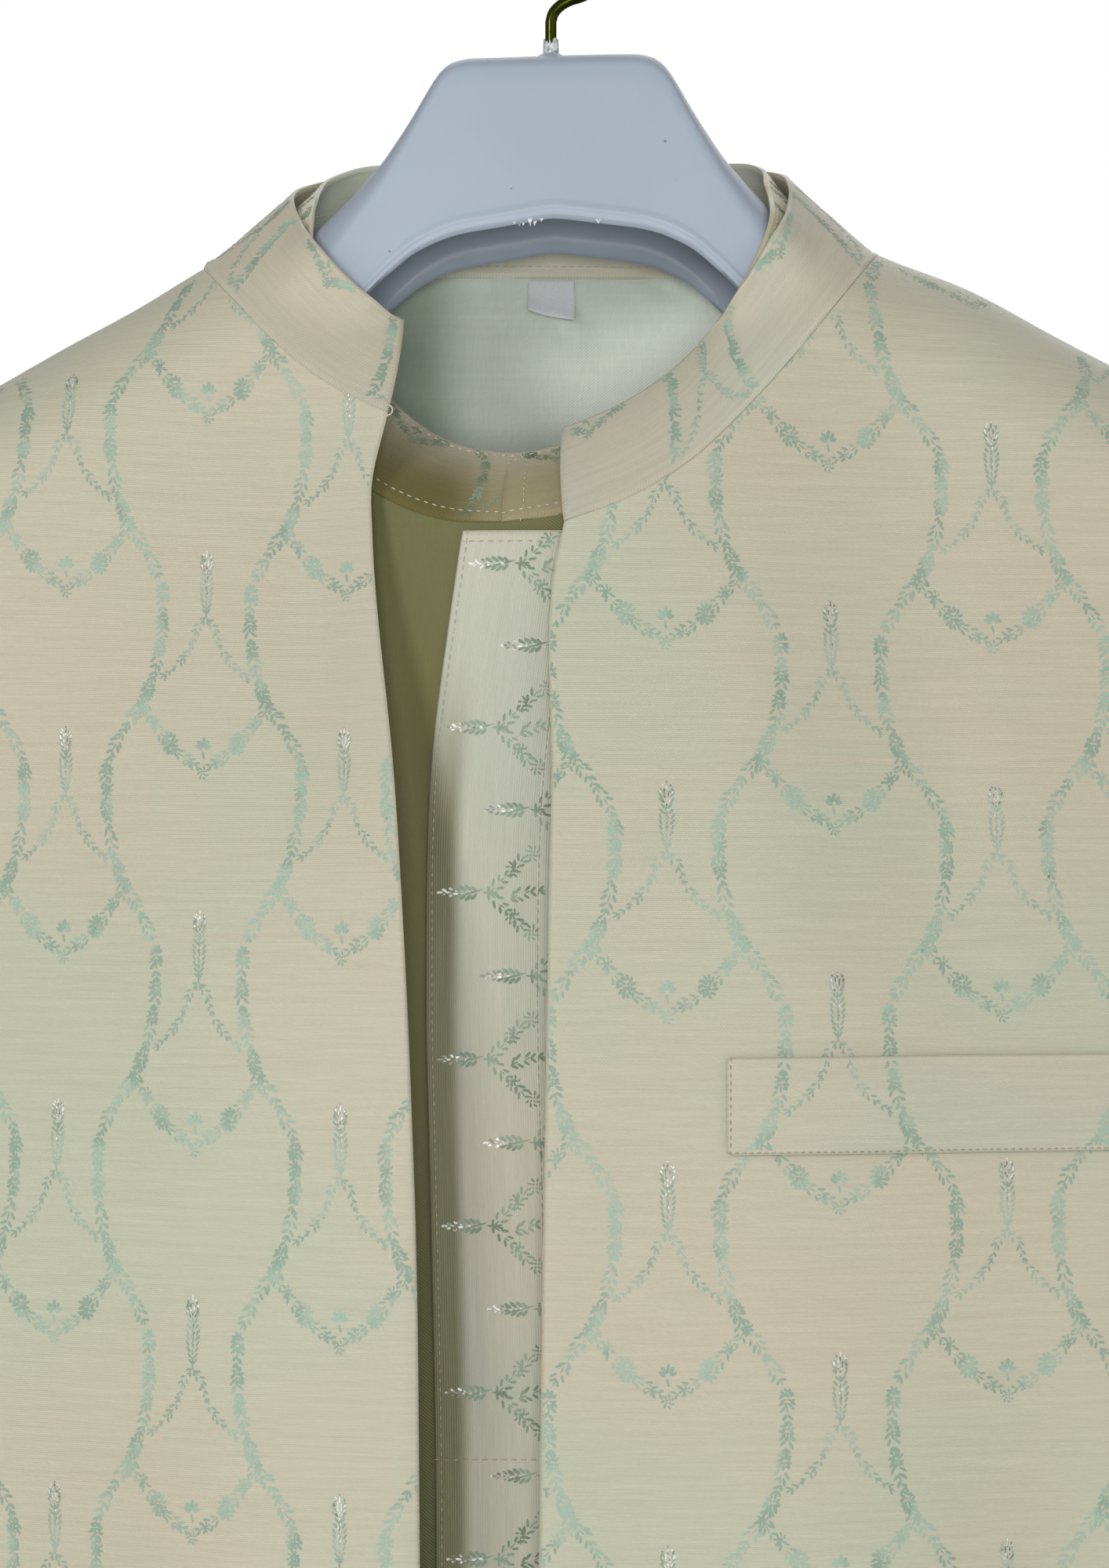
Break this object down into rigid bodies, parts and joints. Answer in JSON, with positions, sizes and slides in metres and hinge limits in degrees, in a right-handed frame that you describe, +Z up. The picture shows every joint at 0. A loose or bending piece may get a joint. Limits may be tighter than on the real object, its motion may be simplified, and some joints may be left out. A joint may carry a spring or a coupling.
{
  "type": "kurta pajama set with sleeveless jacket on hanger",
  "caption": "Long kurta under an open sleeveless band-collar jacket on a wide hanger, with folded pajama on its bar; cloth with open neck, hem, cuffs and armholes.",
  "frame": {"origin": "inside of the crown of the hanger's hook, where it rests on a rail", "axes": "+Z up; -Y is the front that shows the open jacket; +X is the wearer's left"},
  "size_m": [0.6852, 0.1789, 1.1381],
  "materials": {
    "jacket_cloth": "champagne and sage jacquard with a soft sheen",
    "kurta_trim": "sage jacquard with the rib turned across",
    "kurta_twill": "plain sage twill",
    "pajama_cloth": "plain sage twill, matt",
    "size_tab": "white woven tab, bare",
    "hanger_plastic": "moulded grey, satin",
    "hook_wire": "polished brassed wire"
  },
  "bodies": {
    "root": {"jacket_front_left": "jacket_cloth", "jacket_front_right": "jacket_cloth", "jacket_back": "jacket_cloth", "jacket_collar": "jacket_cloth", "jacket_pocket_welt": "jacket_cloth", "kurta_front": "kurta_twill", "kurta_back": "kurta_twill", "kurta_sleeve_left": "kurta_twill", "kurta_sleeve_right": "kurta_twill", "kurta_collar": "kurta_trim", "kurta_placket": "kurta_trim", "kurta_size_tab": "size_tab", "pajama_leg_left": "pajama_cloth", "pajama_leg_right": "pajama_cloth", "pajama_waistband": "pajama_cloth", "hanger_body": "hanger_plastic", "hanger_bar": "hanger_plastic", "hanger_stem_collar": "hanger_plastic", "hanger_hook": "hook_wire"}
  },
  "joints": []
}
